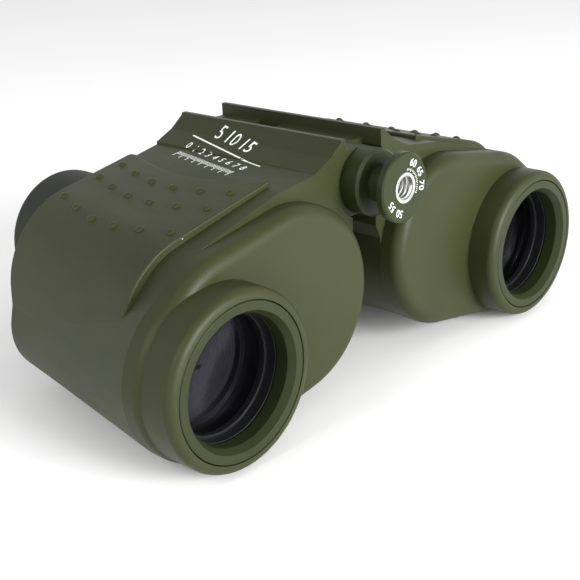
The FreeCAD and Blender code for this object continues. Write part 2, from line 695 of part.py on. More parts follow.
def objective_cell():
    """The long cell: a bore for the lenses, a ridged narrowing baffle, and a notch for the front prism."""
    lens_rear = CELL_FRONT + LENS_DEPTH + CROWN_RIM_T + FLINT_RIM_T + LENS_SEAT
    waist, rear = BODY_FRONT + CELL_SEAT, CELL_FRONT + CELL_LENGTH
    profile = [
        (CELL_BORE_R, CELL_FRONT),
        (CELL_R - SNUG, CELL_FRONT),
        (CELL_R - SNUG, waist),
        (CELL_WAIST_R, waist),
        (CELL_WAIST_R, rear),
    ]
    ridges = int((rear - lens_rear - 1.5) / BAFFLE_PITCH)
    ridge_rear = rear
    for i in reversed(range(ridges)):
        crest = lens_rear + 1.5 + (i + 0.3) * BAFFLE_PITCH
        r = BAFFLE_FRONT_R + (BAFFLE_REAR_R - BAFFLE_FRONT_R) * i / ridges
        profile += [(r - BAFFLE_DEPTH, ridge_rear), (r, crest)]
        ridge_rear = crest - 0.3 * BAFFLE_PITCH
    profile += [(BAFFLE_FRONT_R, lens_rear), (CELL_BORE_R, lens_rear)]
    room = PRISM_ROOM + CLIP_T
    notch = prism_slab(False, prism_profile(room), PRISM_HALF_WIDTH + room)
    return turned(OBJECTIVE_AXIS, profile).cut(notch)


def lock_ring():
    """The thin black ring that holds the front lens in its cell."""
    rear = CELL_FRONT + LENS_DEPTH - LENS_SEAT
    return tube(OBJECTIVE_AXIS, CELL_BORE_R - SNUG, CELL_BORE_R - LOCK_RING_WIDTH, rear - LOCK_RING_T, rear)


def crown_lens():
    """The front lens of the cemented pair."""
    rim = CELL_FRONT + LENS_DEPTH
    return lens(OBJECTIVE_AXIS, rim, rim + CROWN_RIM_T, LENS_R, CROWN_FRONT_CURVE, -CEMENT_CURVE)


def flint_lens():
    """The rear lens of the cemented pair."""
    rim = CELL_FRONT + LENS_DEPTH + CROWN_RIM_T
    return lens(OBJECTIVE_AXIS, rim, rim + FLINT_RIM_T, LENS_R, -CEMENT_CURVE, -FLINT_REAR_CURVE)


def upright_bar(reach_in, reach_out, half_width, front, rear):
    """A bar that stands out of the eyepiece axis, straight up."""
    x, z = EYEPIECE_AXIS
    return box((x - half_width, front, z + reach_in), (x + half_width, rear, z + reach_out))


def eyepiece_mount():
    """The fixed eyepiece tube: a spigot in the cover, a flange on it, and a slot for the guide pin."""
    bore = MOUNT_BORE_R
    groove = 2 * FLANGE_SEAL_R
    seal_r = MOUNT_SPIGOT_R + 1.4
    profile = [
        (bore, COVER_REAR - MOUNT_SPIGOT_LENGTH),
        (MOUNT_SPIGOT_R, COVER_REAR - MOUNT_SPIGOT_LENGTH),
        (MOUNT_SPIGOT_R, COVER_REAR),
        (seal_r, COVER_REAR),
        (seal_r, COVER_REAR + groove),
        (seal_r + groove, COVER_REAR + groove),
        (seal_r + groove, COVER_REAR),
        (MOUNT_FLANGE_R, COVER_REAR),
        (MOUNT_FLANGE_R, MOUNT_FLANGE_REAR),
        (MOUNT_R, MOUNT_FLANGE_REAR),
        (MOUNT_R, MOUNT_REAR - RETAINER_T - SNUG),
        (RETAINER_SEAT_R - SNUG, MOUNT_REAR - RETAINER_T - SNUG),
        (RETAINER_SEAT_R - SNUG, MOUNT_REAR),
        (bore, MOUNT_REAR),
    ]
    half = PIN_R + RUNNING
    reach = FOCUS_TRAVEL + PIN_R + 0.3
    slot = upright_bar(bore - 1, MOUNT_R + 1, half, PIN_Y - reach, PIN_Y + reach)
    return turned(EYEPIECE_AXIS, profile).cut(slot)


def eyepiece_seal():
    """The round seal under the mount's flange."""
    x, z = EYEPIECE_AXIS
    seal_r = MOUNT_SPIGOT_R + 1.4 + FLANGE_SEAL_R
    return Part.makeTorus(seal_r, FLANGE_SEAL_R - SNUG, V(x, COVER_REAR + FLANGE_SEAL_R, z), ALONG)


def lens_carrier():
    """The sliding tube that carries the eyepiece lenses."""
    outer, inner = MOUNT_BORE_R - RUNNING, MOUNT_BORE_R - CARRIER_WALL
    front, rear = CARRIER_REAR - CARRIER_LENGTH, CARRIER_REAR
    profile = [
        (FIELD_LENS_R - 1.2, front),
        (outer, front),
        (outer, rear),
        (inner, rear),
        (inner, rear - EYE_LENS_DEPTH - 5.5),
        (EYE_LENS_R - 1.2, rear - EYE_LENS_DEPTH - 5.5),
        (EYE_LENS_R - 1.2, front + 6.0),
        (FIELD_LENS_R, front + 6.0),
        (FIELD_LENS_R, front + 1.0),
        (FIELD_LENS_R - 1.2, front + 1.0),
    ]
    x, z = EYEPIECE_AXIS
    hole = Part.makeCylinder(PIN_R, 4, V(x, PIN_Y, z + outer - PIN_SEAT), V(0, 0, 1))
    return turned(EYEPIECE_AXIS, profile).cut(hole)


def guide_pin():
    """The pin that stops the carrier turning and follows the focusing ring's groove."""
    x, z = EYEPIECE_AXIS
    start = MOUNT_BORE_R - RUNNING - PIN_SEAT
    return Part.makeCylinder(PIN_R - SNUG, MOUNT_R + PIN_REACH - start, V(x, PIN_Y, z + start), V(0, 0, 1))


def field_lens():
    """The eyepiece's front lens."""
    front = CARRIER_REAR - CARRIER_LENGTH + 1.0 + SNUG
    return lens(EYEPIECE_AXIS, front + 1.4, front + 3.4, FIELD_LENS_R - SNUG, 34.0, -34.0)


def eye_lens():
    """The lens next to the eye."""
    rear = CARRIER_REAR - EYE_LENS_DEPTH
    return lens(EYEPIECE_AXIS, rear - 4.0, rear - 1.6, MOUNT_BORE_R - CARRIER_WALL - SNUG, 38.0, -38.0)


def eye_lens_ring():
    """The ring that holds the eye lens in the carrier."""
    outer = MOUNT_BORE_R - CARRIER_WALL - SNUG
    return tube(EYEPIECE_AXIS, outer, outer - 1.3, CARRIER_REAR - EYE_RING_T, CARRIER_REAR)


def ring_retainer():
    """The flat ring on the mount that keeps the focusing ring on."""
    return tube(EYEPIECE_AXIS, RETAINER_R, RETAINER_SEAT_R, MOUNT_REAR - RETAINER_T, MOUNT_REAR)


def focus_ring():
    """The ring that the fingers turn, scalloped outside, with a cam groove and a sleeve for the eyecup."""
    inner = MOUNT_R + RUNNING
    groove_r = MOUNT_R + PIN_REACH + 0.15
    groove = FOCUS_TRAVEL + PIN_R + 0.15
    counterbore = RETAINER_R + 0.3
    edge = 0.6
    profile = [
        (inner, RING_FRONT),
        (RING_OUTER_R - edge, RING_FRONT),
        (RING_OUTER_R, RING_FRONT + edge),
        (RING_OUTER_R, RING_SLEEVE_FRONT),
        (RING_SLEEVE_R, RING_SLEEVE_FRONT),
        (RING_SLEEVE_R, RING_REAR),
        (counterbore, RING_REAR),
        (counterbore, MOUNT_REAR - RETAINER_T - 0.1),
        (inner, MOUNT_REAR - RETAINER_T - 0.1),
        (inner, PIN_Y + groove),
        (groove_r, PIN_Y + groove),
        (groove_r, PIN_Y - groove),
        (inner, PIN_Y - groove),
    ]
    shape = turned(EYEPIECE_AXIS, profile)
    cuts = []
    for i in range(RING_SCALLOPS):
        angle = 2 * math.pi * i / RING_SCALLOPS
        reach = RING_OUTER_R + 0.35
        place = (EYEPIECE_AXIS[0] + reach * math.cos(angle), EYEPIECE_AXIS[1] + reach * math.sin(angle))
        cuts.append(cylinder(place, SCALLOP_R, RING_FRONT + 1.8, RING_SLEEVE_FRONT - 0.8))
    return shape.cut(cuts)


def eyecup():
    """The rubber eyecup: a rounded cylinder with a dished mouth, pushed over the ring's sleeve."""
    blank = cylinder(EYEPIECE_AXIS, CUP_R, CUP_FRONT, CUP_FRONT + CUP_LENGTH)
    blank = rounded_edges(blank, CUP_EDGE, lambda p: p.y > CUP_FRONT + 1)
    sleeve = cylinder(EYEPIECE_AXIS, RING_SLEEVE_R + SNUG, CUP_FRONT - 1, RING_REAR)
    throat = cylinder(EYEPIECE_AXIS, CUP_THROAT_R + 1.1, RING_REAR - 1, RING_REAR + 2)
    dish = cone(EYEPIECE_AXIS, CUP_THROAT_R + 1.1, CUP_MOUTH_R, RING_REAR + 1.2, CUP_FRONT + CUP_LENGTH)
    return blank.cut([sleeve, throat, dish])


def socket_boss():
    """The round tripod boss on its neck, in front of the hinge."""
    edge = 0.5
    profile = [
        (INSERT_R, 0),
        (SOCKET_FACE_R - edge, 0),
        (SOCKET_FACE_R, edge),
        (SOCKET_FACE_R, SOCKET_FACE_T),
        (SOCKET_NECK_R, SOCKET_FACE_T),
        (SOCKET_NECK_R, FRONT_FLANGE_FRONT),
        (INSERT_R, FRONT_FLANGE_FRONT),
    ]
    return turned((0, 0), profile)


def thread_insert():
    """The bright threaded bush in the boss."""
    profile = [
        (THREAD_R, 0),
        (INSERT_R - SNUG, 0),
        (INSERT_R - SNUG, FRONT_FLANGE_FRONT),
        (0, FRONT_FLANGE_FRONT),
        (0, THREAD_LENGTH),
        (THREAD_R, THREAD_LENGTH),
    ]
    return turned((0, 0), profile)


def front_flange():
    """The bevelled flange between the tripod boss and the hinge."""
    edge = 0.7
    profile = [
        (0, FRONT_FLANGE_FRONT),
        (KNUCKLE_R - edge, FRONT_FLANGE_FRONT),
        (KNUCKLE_R, FRONT_FLANGE_FRONT + edge),
        (KNUCKLE_R, HINGE_FRONT),
        (AXLE_R, HINGE_FRONT),
        (AXLE_R, AXLE_FRONT),
        (0, AXLE_FRONT),
    ]
    return turned((0, 0), profile)


def hinge_axle():
    """The steel axle through every knuckle."""
    return cylinder((0, 0), AXLE_R - SNUG, AXLE_FRONT, BODY_REAR - 0.8)


def rear_nut():
    """The flat nut at the rear of the hinge, with two holes for a pin spanner."""
    shape = tube((0, 0), REAR_NUT_R, AXLE_R, NUT_FRONT, BODY_REAR)
    holes = [cylinder((side * 5.8, 0), 0.8, BODY_REAR - 1.2, BODY_REAR + 1) for side in (-1, 1)]
    return shape.cut(holes)


def hinge_washers():
    """The low-friction washers between the knuckles and behind the last one."""
    rings = []
    for _, rear in knuckle_spans():
        front = rear + WASHER_GAP
        rings.append(tube((0, 0), KNUCKLE_R - 0.8, AXLE_R + RUNNING, front, front + WASHER_T))
    return Part.makeCompound(rings)


def hinge_bushes():
    """The bronze bushes in the left barrel's knuckles."""
    return Part.makeCompound(
        [tube((0, 0), AXLE_R + BUSH_WALL, AXLE_R + RUNNING, front, rear) for front, rear in knuckle_spans()[1::2]]
    )


def set_screw():
    """The grub screw that locks the axle in the right barrel's rear knuckle."""
    front, rear = knuckle_spans()[2]
    return Part.makeCylinder(SET_SCREW_R, 4.5, V(0, (front + rear) / 2, -AXLE_R - 4.6), V(0, 0, 1))


def right_knuckle_bores(shape):
    """The right barrel's knuckles bored for the axle and its grub screw."""
    front, rear = knuckle_spans()[2]
    screw_hole = Part.makeCylinder(SET_SCREW_R + SNUG, 9, V(0, (front + rear) / 2, -AXLE_R - 8), V(0, 0, 1))
    return shape.cut([cylinder((0, 0), AXLE_R, HINGE_FRONT - 1, HINGE_REAR + 1), screw_hole])


def mirrored(shape):
    """The same piece for the barrel on the other side of the hinge."""
    return shape.mirror(V(0, 0, 0), V(1, 0, 0))


def barrel_pieces():
    """Every piece that both barrels have, drawn for +X."""
    return {
        "rear_cover": rear_cover(),
        "rear_cover_gasket": cover_gasket(),
        "rear_cover_screws": cover_screws(),
        "prism_shelf": prism_shelf(),
        "shelf_screws": shelf_screws(),
        "front_prism": prism(False),
        "rear_prism": prism(True),
        "prism_clips": prism_clips(),
        "objective_retaining_ring": retaining_ring(),
        "objective_seal": objective_seal(),
        "objective_cell": objective_cell(),
        "lens_lock_ring": lock_ring(),
        "crown_lens": crown_lens(),
        "flint_lens": flint_lens(),
        "eyepiece_mount": eyepiece_mount(),
        "eyepiece_seal": eyepiece_seal(),
        "lens_carrier": lens_carrier(),
        "guide_pin": guide_pin(),
        "field_lens": field_lens(),
        "eye_lens": eye_lens(),
        "eye_lens_ring": eye_lens_ring(),
        "ring_retainer": ring_retainer(),
        "focus_ring": focus_ring(),
        "eyecup": eyecup(),
    }


def hinge_pieces():
    """Every piece on the hinge axis."""
    return {
        "tripod_boss": socket_boss(),
        "tripod_thread_insert": thread_insert(),
        "hinge_front_flange": front_flange(),
        "hinge_axle": hinge_axle(),
        "hinge_washers": hinge_washers(),
        "hinge_bushes": hinge_bushes(),
        "hinge_rear_nut": rear_nut(),
        "axle_set_screw": set_screw(),
    }


def all_pieces():
    """Every node of the binoculars by name."""
    spans = knuckle_spans()
    right_spans, left_spans = spans[0::2], spans[1::2]
    left_bore = cylinder((0, 0), AXLE_R + BUSH_WALL, HINGE_FRONT - 1, HINGE_REAR + 1)
    pieces = {
        "left_housing": housing(left_spans, right_spans).cut(left_bore),
        "right_housing": right_knuckle_bores(mirrored(housing(right_spans, left_spans))),
    }
    for name, shape in barrel_pieces().items():
        pieces["left_" + name] = shape
        pieces["right_" + name] = mirrored(shape)
    pieces.update(hinge_pieces())
    return pieces


def main():
    """Write one STEP file for each node."""
    os.makedirs("parts", exist_ok=True)
    for name, shape in all_pieces().items():
        shape.exportStep(os.path.join("parts", name + ".step"))


main()
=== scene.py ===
import json
import logging
import math
from dataclasses import dataclass
from enum import Enum
from typing import Any, Callable, Dict, List, Optional, Sequence, Tuple, Union

import bmesh
import bpy
from mathutils import Matrix, Vector
from mathutils.bvhtree import BVHTree


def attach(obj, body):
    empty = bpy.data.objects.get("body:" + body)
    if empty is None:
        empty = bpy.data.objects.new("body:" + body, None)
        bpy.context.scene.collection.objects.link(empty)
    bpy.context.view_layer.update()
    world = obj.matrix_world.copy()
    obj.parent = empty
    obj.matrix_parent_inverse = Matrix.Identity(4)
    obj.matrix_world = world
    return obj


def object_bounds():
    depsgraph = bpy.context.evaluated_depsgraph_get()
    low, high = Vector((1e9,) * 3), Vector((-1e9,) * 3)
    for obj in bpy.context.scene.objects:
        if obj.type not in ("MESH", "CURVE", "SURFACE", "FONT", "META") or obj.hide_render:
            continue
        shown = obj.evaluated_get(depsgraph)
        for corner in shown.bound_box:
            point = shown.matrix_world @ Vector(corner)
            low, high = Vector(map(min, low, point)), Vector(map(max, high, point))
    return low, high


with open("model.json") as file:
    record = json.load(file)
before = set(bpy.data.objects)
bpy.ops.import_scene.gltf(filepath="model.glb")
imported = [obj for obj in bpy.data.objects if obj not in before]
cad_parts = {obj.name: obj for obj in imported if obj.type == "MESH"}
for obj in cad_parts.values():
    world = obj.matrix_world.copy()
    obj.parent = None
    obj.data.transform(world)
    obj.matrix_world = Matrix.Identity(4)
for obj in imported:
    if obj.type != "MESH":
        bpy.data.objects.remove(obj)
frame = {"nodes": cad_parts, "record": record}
cad_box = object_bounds()

# Looks for hand-held prism binoculars: two olive drab barrels on a centre hinge, an eyepiece on each that
# focuses by turning its ring, and a tripod socket in front of the hinge. Sizes are in metres.

log = logging.getLogger("binoculars")
MM = 0.001
Colour = Tuple[float, float, float]
Point = Tuple[float, float, float]

OBJECTIVE_OUT = 62.2 * MM
OBJECTIVE_DROP = 32.0 * MM
EYEPIECE_OUT = 34.0 * MM
EYEPIECE_DROP = 24.0 * MM

INK_THICKNESS = 0.03 * MM
INK_SINK = 0.004 * MM  # how far a print's underside goes into its surface
CAPITAL_SHARE = 0.7  # a capital's height as a share of the type size
DROP_HEIGHT = 60 * MM  # where prints start when they are dropped on a surface
FLOOR_GAP = 0.3 * MM
FLOOR_REACH = 4.0


class Side(Enum):
    """The two barrels, as the user holds them."""

    LEFT = "left"
    RIGHT = "right"

    @property
    def sign(self) -> int:
        """+1 for the barrel at +X and -1 for the other."""
        return 1 if self is Side.LEFT else -1

    @property
    def objective(self) -> Point:
        """A point on the objective's axis."""
        return (self.sign * OBJECTIVE_OUT, 0.0, -OBJECTIVE_DROP)

    @property
    def eyepiece(self) -> Point:
        """A point on the eyepiece's axis."""
        return (self.sign * EYEPIECE_OUT, 0.0, -EYEPIECE_DROP)


HINGE: Point = (0.0, 0.0, 0.0)


# ---------------------------------------------------------------- shader tools


class Wire:
    """A shader socket that does arithmetic: an expression on wires adds its Math nodes."""

    def __init__(self, shop: "Shop", socket: bpy.types.NodeSocket) -> None:
        """Wrap a socket of a material's node tree."""
        self.shop = shop
        self.socket = socket

    def _math(self, operation: str, *values: Any) -> "Wire":
        """Add one Math node."""
        return self.shop.node("ShaderNodeMath", {"operation": operation}, dict(enumerate(values)))

    def __add__(self, other: Any) -> "Wire":
        """Sum."""
        return self._math("ADD", self, other)

    def __sub__(self, other: Any) -> "Wire":
        """Difference."""
        return self._math("SUBTRACT", self, other)

    def __rsub__(self, other: Any) -> "Wire":
        """Difference from a plain number."""
        return self._math("SUBTRACT", other, self)

    def __mul__(self, other: Any) -> "Wire":
        """Product."""
        return self._math("MULTIPLY", self, other)

    __radd__ = __add__
    __rmul__ = __mul__

    def below(self, level: float) -> "Wire":
        """1 where the wire is under a level, else 0."""
        return self._math("LESS_THAN", self, level)

    def ramp(self, low: float, high: float) -> "Wire":
        """A smooth step from 0 at low to 1 at high.

        Args:
            low: The value that gives 0.
            high: The value that gives 1.

        Returns:
            The stepped wire.
        """
        settings = {"interpolation_type": "SMOOTHSTEP"}
        inputs = {"Value": self, "From Min": low, "From Max": high}
        return self.shop.node("ShaderNodeMapRange", settings, inputs)


class Shop:
    """One material's node tree, with a method that adds any node to it."""

    def __init__(self, name: str) -> None:
        """Start an empty material of that name."""
        self.material = bpy.data.materials.new(name)
        self.material.use_nodes = True
        self.tree = self.material.node_tree
        self.tree.nodes.clear()
        self.output = self.tree.nodes.new("ShaderNodeOutputMaterial")

    def node(
        self,
        kind: str,
        settings: Dict[str, Any],
        inputs: Dict[Union[str, int], Any],
        output: Union[str, int] = 0,
    ) -> Wire:
        """Add one node.

        Args:
            kind: The node's type.
            settings: Its properties, which are set first.
            inputs: A number, colour or wire for each named or numbered socket.
            output: The socket that the answer wraps.

        Returns:
            The chosen output as a wire.
        """
        node = self.tree.nodes.new(kind)
        for name, value in settings.items():
            setattr(node, name, value)
        for key, value in inputs.items():
            if isinstance(value, Wire):
                self.tree.links.new(value.socket, node.inputs[key])
            else:
                node.inputs[key].default_value = value
        return Wire(self, node.outputs[output])

    def place(self, centre: Point = HINGE, stretch: Point = (1.0, 1.0, 1.0)) -> Wire:
        """Object coordinates measured from a centre and stretched along each axis."""
        here = self.node("ShaderNodeTexCoord", {}, {}, "Object")
        moved = self.node("ShaderNodeVectorMath", {"operation": "SUBTRACT"}, {0: here, 1: centre})
        return self.node("ShaderNodeVectorMath", {"operation": "MULTIPLY"}, {0: moved, 1: stretch})

    def noise(self, place: Wire, scale: float, detail: float = 2.0) -> Wire:
        """Soft noise from 0 to 1."""
        return self.node("ShaderNodeTexNoise", {}, {"Vector": place, "Scale": scale, "Detail": detail}, "Fac")

    def mix(self, share: Any, first: Any, second: Any) -> Wire:
        """Blend two colours."""
        inputs = {"Factor": share, 6: first, 7: second}
        return self.node("ShaderNodeMix", {"data_type": "RGBA"}, inputs, 2)

    def drift_mix(self, share: Wire, colour: Colour, low: float, high: float) -> Wire:
        """Let a colour wander between a darker and a brighter form of itself.

        Args:
            share: Noise from 0 to 1 that drives it.
            colour: The middle colour.
            low: How bright the dark form is.
            high: How bright the bright form is.

        Returns:
            The wandering colour.
        """
        return self.mix(share.ramp(0.3, 0.7), rgba(brighter(colour, low)), rgba(brighter(colour, high)))

    def lathe_rings(self, place: Wire, scale: float) -> Wire:
        """Fine noise in rings round the Y axis of a place, as a lathe leaves."""
        across = {"operation": "MULTIPLY"}
        flat = self.node("ShaderNodeVectorMath", across, {0: place, 1: (1.0, 0.0, 1.0)})
        reach = self.node("ShaderNodeVectorMath", {"operation": "LENGTH"}, {0: flat}, "Value")
        inputs = {"W": reach, "Scale": scale}
        return self.node("ShaderNodeTexNoise", {"noise_dimensions": "1D"}, inputs, "Fac")

    def bump(
        self, height: Wire, distance: float, strength: float = 1.0, normal: Optional[Wire] = None
    ) -> Wire:
        """Turn a height into a normal.

        Args:
            height: The height, 0 to 1.
            distance: Metres of relief at full height.
            strength: Share of that relief.
            normal: A normal to start from.

        Returns:
            The bumped normal.
        """
        inputs: Dict[Union[str, int], Any] = {"Height": height, "Distance": distance, "Strength": strength}
        if normal is not None:
            inputs["Normal"] = normal
        return self.node("ShaderNodeBump", {}, inputs)

    def soft_edges(self, radius: float) -> Wire:
        """A normal that rounds every edge by a small radius."""
        return self.node("ShaderNodeBevel", {"samples": 4}, {"Radius": radius})

    def edge_mask(self, radius: float) -> Wire:
        """1 on sharp edges and 0 on flat faces."""
        soft = self.soft_edges(radius)
        true = self.node("ShaderNodeNewGeometry", {}, {}, "Normal")
        facing = self.node("ShaderNodeVectorMath", {"operation": "DOT_PRODUCT"}, {0: soft, 1: true}, "Value")
        return (1.0 - facing).ramp(0.01, 0.18)

    def specks(self, place: Wire, per_metre: float, size: float, share: float) -> Wire:
        """Small round dots, one in some of the cells of a grid.

        Args:
            place: Where the grid lies.
            per_metre: Cells per metre.
            size: Each dot's radius as a part of a cell.
            share: Part of the cells with a dot.

        Returns:
            1 on a dot, else 0.
        """
        cells = self.tree.nodes.new("ShaderNodeTexVoronoi")
        cells.inputs["Scale"].default_value = per_metre
        self.tree.links.new(place.socket, cells.inputs["Vector"])
        away, tint = Wire(self, cells.outputs["Distance"]), Wire(self, cells.outputs["Color"])
        chance = self.node("ShaderNodeSeparateColor", {}, {"Color": tint}, "Red")
        return away.below(size) * chance.below(share)

    def shade(self, **inputs: Any) -> Wire:
        """Add the surface shader, with sockets named in lower case, and join it to the output.

        Args:
            **inputs: A value or wire for each socket, such as base_color.

        Returns:
            The shader.
        """
        named = {key.replace("_", " ").title().replace("Ior", "IOR"): value for key, value in inputs.items()}
        shader = self.node("ShaderNodeBsdfPrincipled", {}, named)
        self.tree.links.new(shader.socket, self.output.inputs["Surface"])
        return shader


def rgba(colour: Colour) -> Tuple[float, float, float, float]:
    """A colour with full alpha."""
    return (*colour, 1.0)


def brighter(colour: Colour, by: float) -> Colour:
    """A colour multiplied by a number."""
    return tuple(part * by for part in colour)  # type: ignore[return-value]


# -------------------------------------------------------------------- finishes


@dataclass(frozen=True)
class SatinPaint:
    """Sprayed olive drab paint: a fine even grain, slow colour drift, rubbed edges and a little dust."""

    name: str
    colour: Colour
    roughness: float = 0.46
    grain: float = 0.012 * MM
    grain_per_metre: float = 3200.0
    edge_radius: float = 0.35 * MM
    dust_share: float = 0.035
    centre: Point = HINGE

    def make(self) -> bpy.types.Material:
        """Build the paint."""
        shop = Shop(self.name)
        here = shop.place(self.centre)
        drift = shop.noise(here, 38.0, 3.0)
        grain = shop.noise(here, self.grain_per_metre, 1.0)
        smear = shop.noise(shop.place(self.centre, (1.0, 0.25, 1.0)), 260.0, 4.0)
        base = shop.drift_mix(drift, self.colour, 0.93, 1.07)
        worn = shop.edge_mask(self.edge_radius) * (0.10 + 0.30 * smear)
        base = shop.mix(worn, base, rgba(brighter(self.colour, 1.9)))
        dust = shop.specks(here, 170.0, 0.032, self.dust_share)
        base = shop.mix(dust * 0.75, base, rgba((0.55, 0.56, 0.5)))
        rough = self.roughness + 0.10 * (smear - 0.5) + 0.08 * (grain - 0.5)
        normal = shop.bump(grain, self.grain, 0.55, shop.soft_edges(self.edge_radius))
        shop.shade(base_color=base, roughness=rough, normal=normal, specular_ior_level=0.2)
        return shop.material


@dataclass(frozen=True)
class TurnedPaint:
    """The same paint on a part turned on a lathe: faint rings show through it round the part's axis."""

    name: str
    colour: Colour
    centre: Point
    roughness: float = 0.42

    def make(self) -> bpy.types.Material:
        """Build the paint."""
        shop = Shop(self.name)
        here = shop.place(self.centre)
        rings = shop.lathe_rings(here, 5200.0)
        grain = shop.noise(here, 3000.0, 1.0)
        drift = shop.noise(here, 70.0, 2.0)
        base = shop.drift_mix(drift, self.colour, 0.93, 1.08)
        worn = shop.edge_mask(0.22 * MM) * (0.25 + 0.6 * drift)
        base = shop.mix(worn, base, rgba(brighter(self.colour, 2.3)))
        dust = shop.specks(here, 260.0, 0.045, 0.06)
        base = shop.mix(dust * 0.85, base, rgba((0.6, 0.6, 0.55)))
        normal = shop.bump(rings * 0.6 + grain * 0.4, 0.008 * MM, 0.5, shop.soft_edges(0.22 * MM))
        rough = self.roughness + 0.12 * (rings - 0.5)
        shop.shade(base_color=base, roughness=rough, normal=normal, specular_ior_level=0.22)
        return shop.material


@dataclass(frozen=True)
class Rubber:
    """Moulded rubber: dull, slightly mottled, with a fine skin."""

    name: str
    colour: Colour
    roughness: float = 0.62

    def make(self) -> bpy.types.Material:
        """Build the rubber."""
        shop = Shop(self.name)
        here = shop.place()
        mottle = shop.noise(here, 120.0, 4.0)
        skin = shop.noise(here, 2600.0, 2.0)
        base = shop.drift_mix(mottle, self.colour, 0.9, 1.1)
        dust = shop.specks(here, 210.0, 0.04, 0.05)
        base = shop.mix(dust * 0.6, base, rgba((0.5, 0.5, 0.46)))
        normal = shop.bump(skin, 0.012 * MM, 0.5, shop.soft_edges(0.4 * MM))
        rough = self.roughness + 0.12 * (mottle - 0.5)
        shop.shade(base_color=base, roughness=rough, normal=normal, specular_ior_level=0.25)
        return shop.material


@dataclass(frozen=True)
class TurnedMetal:
    """Bare or anodised metal with lathe rings round its axis."""

    name: str
    colour: Colour
    roughness: float
    metallic: float = 1.0
    centre: Point = HINGE
    ring_height: float = 0.006 * MM
    # How much brighter the edges are painted: mild worn bare metal at the default, a painted highlight
    # (glints along ridge crests) at the black alloy's strong setting
    edge_wear_and_glint: float = 1.5

    def make(self) -> bpy.types.Material:
        """Build the metal."""
        shop = Shop(self.name)
        here = shop.place(self.centre)
        rings = shop.lathe_rings(here, 7000.0)
        blotch = shop.noise(here, 400.0, 3.0)
        dark, light = brighter(self.colour, 0.8), brighter(self.colour, 1.15)
        base = shop.mix(rings * 0.6 + blotch * 0.4, rgba(dark), rgba(light))
        # Edges painted brighter than the body: a little bare-metal wear at the default strength, and at the
        # black alloy's strong setting a painted highlight, bright glints painted along the ridge crests
        base = shop.mix(shop.edge_mask(0.14 * MM), base, rgba(brighter(self.colour, self.edge_wear_and_glint)))
        rough = self.roughness + 0.18 * (blotch - 0.5) + 0.1 * (rings - 0.5)
        normal = shop.bump(rings, self.ring_height, 0.6, shop.soft_edges(0.15 * MM))
        shop.shade(base_color=base, roughness=rough, metallic=self.metallic, normal=normal)
        return shop.material


@dataclass(frozen=True)
class Moulded:
    """A plain moulded or sintered material with a cloudy colour and a fine surface."""

    name: str
    colour: Colour
    roughness: float
    metallic: float = 0.0

    def make(self) -> bpy.types.Material:
        """Build the material."""
        shop = Shop(self.name)
        here = shop.place()
        cloud = shop.noise(here, 500.0, 4.0)
        base = shop.mix(cloud, rgba(brighter(self.colour, 0.8)), rgba(brighter(self.colour, 1.2)))
        normal = shop.bump(shop.noise(here, 4000.0, 1.0), 0.01 * MM, 0.4)
        rough = self.roughness + 0.15 * (cloud - 0.5)
        shop.shade(base_color=base, roughness=rough, metallic=self.metallic, normal=normal)
        return shop.material


@dataclass(frozen=True)
class CoatedGlass:
    """A clear lens or prism whose coating gives its reflections a faint colour."""

    name: str
    tint: Colour
    sheen: Colour
    body: float = 0.05
    gloss: float = 0.5

    def make(self) -> bpy.types.Material:
        """Build the glass as clear film under a coloured reflection."""
        shop = Shop(self.name)
        here = shop.place()
        film = shop.noise(here, 90.0, 3.0)
        edge = shop.node("ShaderNodeFresnel", {}, {"IOR": 1.5})
        clear = shop.node("ShaderNodeBsdfTransparent", {}, {"Color": rgba(self.tint)})
        coat = shop.mix(film, rgba(self.sheen), rgba(brighter(self.sheen, 0.7)))
        gloss = shop.shade(base_color=coat, metallic=1.0, roughness=0.03 + 0.03 * film)
        share = self.body + self.gloss * edge + 0.02 * film
        mixed = shop.node("ShaderNodeMixShader", {}, {0: share, 1: clear, 2: gloss})
        shop.tree.links.new(mixed.socket, shop.output.inputs["Surface"])
        return shop.material


@dataclass(frozen=True)
class Ink:
    """White printing, slightly uneven."""

    name: str
    colour: Colour = (0.82, 0.84, 0.8)

    def make(self) -> bpy.types.Material:
        """Build the ink."""
        shop = Shop(self.name)
        here = shop.place()
        wear = shop.noise(here, 1500.0, 3.0)
        base = shop.mix(wear.ramp(0.25, 0.6), rgba(brighter(self.colour, 0.72)), rgba(self.colour))
        shop.shade(base_color=base, roughness=0.5 + 0.1 * wear)
        return shop.material


OLIVE: Colour = (0.0255, 0.0295, 0.0095)
OLIVE_TURNED: Colour = (0.018, 0.023, 0.0065)
OLIVE_DULL: Colour = (0.022, 0.026, 0.012)
CUP_GREY: Colour = (0.016, 0.018, 0.012)
PRISM_TINT: Colour = (0.9, 0.94, 0.92)
PRISM_SHEEN: Colour = (0.3, 0.32, 0.31)
LENS_TINT: Colour = (0.93, 0.93, 0.94)
LENS_SHEEN: Colour = (0.26, 0.25, 0.29)
FLOOR_DARK: Colour = (0.93, 0.93, 0.93)
FLOOR_LIGHT: Colour = (0.97, 0.97, 0.97)


